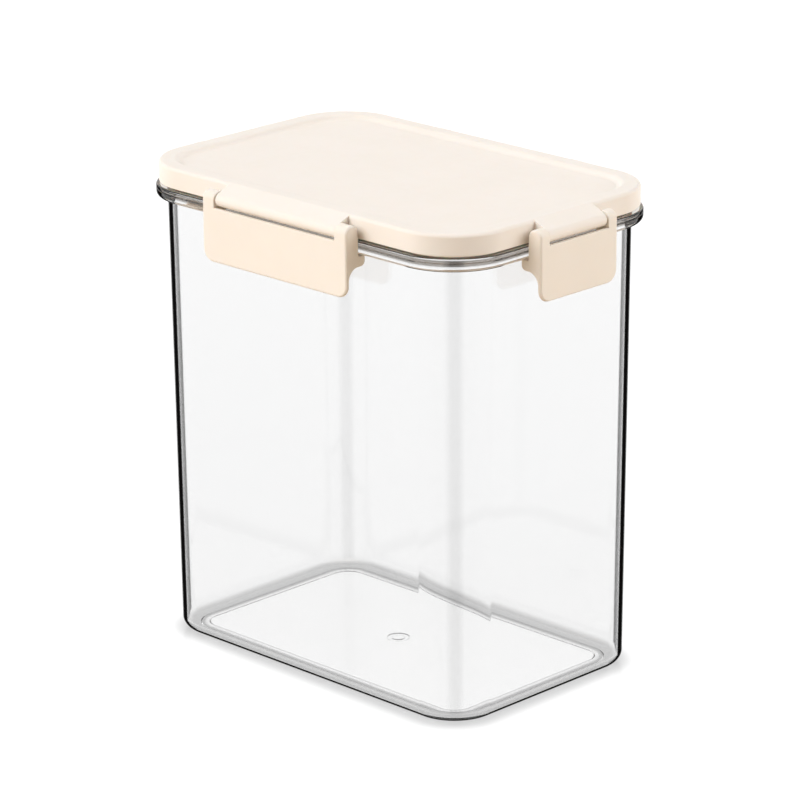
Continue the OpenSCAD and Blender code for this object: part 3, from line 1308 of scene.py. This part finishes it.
@dataclass
class Studio:
    """Pale floor, soft light and the camera."""

    azimuth: float = 44.70
    elevation: float = 18.26
    roll: float = -0.396
    lens: float = 184.45
    sensor: float = 36
    stand: tuple[float, float, float] = (1.3014, -1.3140, 0.7333)
    floor_span: float = 14.0
    key: Lamp = Lamp(-28, 32, 46, 2.35)
    fill: Lamp = Lamp(126, 24, 46, 1.6)
    lamp_colour: tuple[float, float, float] = (1.0, 1.02, 1.06)
    room_strength: float = 0.72
    room_colours: tuple[str, str] = ("#1E1409", "#FFFFFF")
    room_fall: float = 0.78
    dark_way: tuple[float, float, float] = (0.69, -0.69, 0.2)
    dark_from: tuple[float, float] = (0.45, 0.88)
    dark_share: float = 0.12
    paper_strength: float = 1.05

    def camera(self) -> None:
        """Add the camera."""
        a, e, r = (math.radians(v) for v in (self.azimuth, self.elevation, self.roll))
        back = aim(a, e)
        level = Vector((math.cos(a), math.sin(a), 0))
        right = level * math.cos(r) + back.cross(level) * math.sin(r)
        turn = Matrix((right, back.cross(right), back)).transposed().to_4x4()
        data = bpy.data.cameras.new("camera")
        data.lens, data.sensor_width = self.lens, self.sensor
        camera = bpy.data.objects.new("camera", data)
        camera.matrix_world = Matrix.Translation(self.stand) @ turn
        bpy.context.scene.collection.objects.link(camera)
        bpy.context.scene.camera = camera

    def floor(self) -> None:
        """Add the floor."""
        deselect_all()
        bpy.ops.mesh.primitive_plane_add(size=self.floor_span)
        obj = bpy.context.active_object
        obj.name = obj.data.name = "studio_floor"
        edit(obj)
        bpy.ops.mesh.select_all(action="SELECT")
        bpy.ops.mesh.subdivide(number_cuts=3)
        leave_edit()
        obj.data.materials.append(WhiteTabletop().build())

    def hang(self, name: str, lamp: Lamp) -> None:
        """Add a lamp.

        Args:
            name: Name of the lamp.
            lamp: Where it stands, how wide it looks and how strong it is.
        """
        back = aim(math.radians(lamp.azimuth), math.radians(lamp.elevation))
        data = bpy.data.lights.new(name, "SUN")
        data.angle, data.energy = math.radians(lamp.spread), lamp.power
        data.color = self.lamp_colour
        obj = bpy.data.objects.new(name, data)
        obj.rotation_mode = "QUATERNION"
        obj.rotation_quaternion = back.to_track_quat("Z", "Y")
        obj.location = back
        obj.visible_glossy = obj.visible_transmission = False
        bpy.context.scene.collection.objects.link(obj)

    def room(self) -> None:
        """Add the room: white, darker on one side, with white paper behind the canister."""
        world = bpy.data.worlds.new("room")
        bpy.context.scene.world = world
        world.use_nodes = True
        tree = world.node_tree
        tree.nodes.clear()
        way = add_node(tree, "TexCoord", out="Generated")
        height = add_node(tree, "SeparateXYZ", (way,), "Z")
        level = add_node(tree, "MapRange", (height, 0.0, 0.9, 1.0, self.room_fall))
        toward = add_node(
            tree, "VectorMath", (way, self.dark_way), "Value", operation="DOT_PRODUCT"
        )
        shade = add_node(
            tree, "MapRange", (toward, *self.dark_from, 1.0, self.dark_share), **EASE
        )
        glow = add_node(tree, "Math", (level, shade), operation="MULTIPLY")
        dark, white = (linear(colour) for colour in self.room_colours)
        colour = add_node(tree, "Mix", {0: glow, 6: dark, 7: white}, 2, data_type="RGBA")
        room = add_node(tree, "Background", (colour, self.room_strength))
        paper = add_node(tree, "Background", (PAPER, self.paper_strength))
        ray = add_node(tree, "LightPath", out="Is Camera Ray")
        mix = add_node(tree, "MixShader", (ray, room, paper))
        add_node(tree, "OutputWorld", {"Surface": mix})

    def light(self) -> None:
        """Add the lamps and the room, with plain colours in the picture."""
        self.hang("key", self.key)
        self.hang("fill", self.fill)
        self.room()
        view = bpy.context.scene.view_settings
        view.view_transform, view.look = "Standard", "None"


def main() -> None:
    """Build every piece in order and report each one."""
    logging.basicConfig(level=logging.INFO, format="%(name)s: %(message)s")
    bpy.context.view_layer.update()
    _, body_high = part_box("canister_body")
    lid_low, lid_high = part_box("lid")
    ring_low, ring_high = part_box("lid_gasket")

    rim_out = CanisterBody.rim_out
    plan = Plan(body_high.x / MM - rim_out, body_high.y / MM - rim_out)
    clear = ClearStyrene().build()
    lid_cream = CreamPolypropylene(
        "moulded_polypropylene_cream", "#F4EADF", "#F2E8DC"
    ).build()
    latch_cream = CreamPolypropylene(
        "moulded_polypropylene_latch", "#F2E8DB", "#F0E5D7"
    ).build()
    silicone = MilkySilicone().build()

    body = CanisterBody(plan, rim_top=body_high.z / MM)
    tie = Tie("canister_body", "canister", "clear_plastic")
    body.dress(body.build(), "canister_body_clear", tie, clear)

    fitted = (
        (Latch(width=94.4, ear=7.7), (Side.FRONT, Side.BACK)),
        (Latch(width=51.2, ear=6.0), (Side.LEFT, Side.RIGHT)),
    )
    lid = Lid(plan, top=lid_high.z / MM, skirt_bottom=body_high.z / MM + SKIRT_GAP,
              plug_bottom=lid_low.z / MM)
    noses = [(latch.width - 2 * (latch.ear + EAR_GAP), sides) for latch, sides in fitted]
    lid.dress(lid.build(noses), "lid_shell", Tie("lid", "lid", "lid_plastic"), lid_cream)

    ring = SealingRing(plan, bottom=ring_low.z / MM, top=ring_high.z / MM)
    tie = Tie("lid_gasket", "lid", "silicone")
    ring.dress(ring.build(), "sealing_ring", tie, silicone)

    for latch, sides in fitted:
        first = latch.build()
        for side in sides:
            name = "latch_" + side.name.lower()
            flap = copy_turned(first, name + "_flap", plan.turn(side))
            latch.dress(flap, name + "_flap", Tie(name, name, "latch_plastic"), latch_cream)
        bpy.data.objects.remove(first)

    studio = Studio()
    studio.camera()
    studio.floor()
    studio.light()


if __name__ == "__main__":
    main()
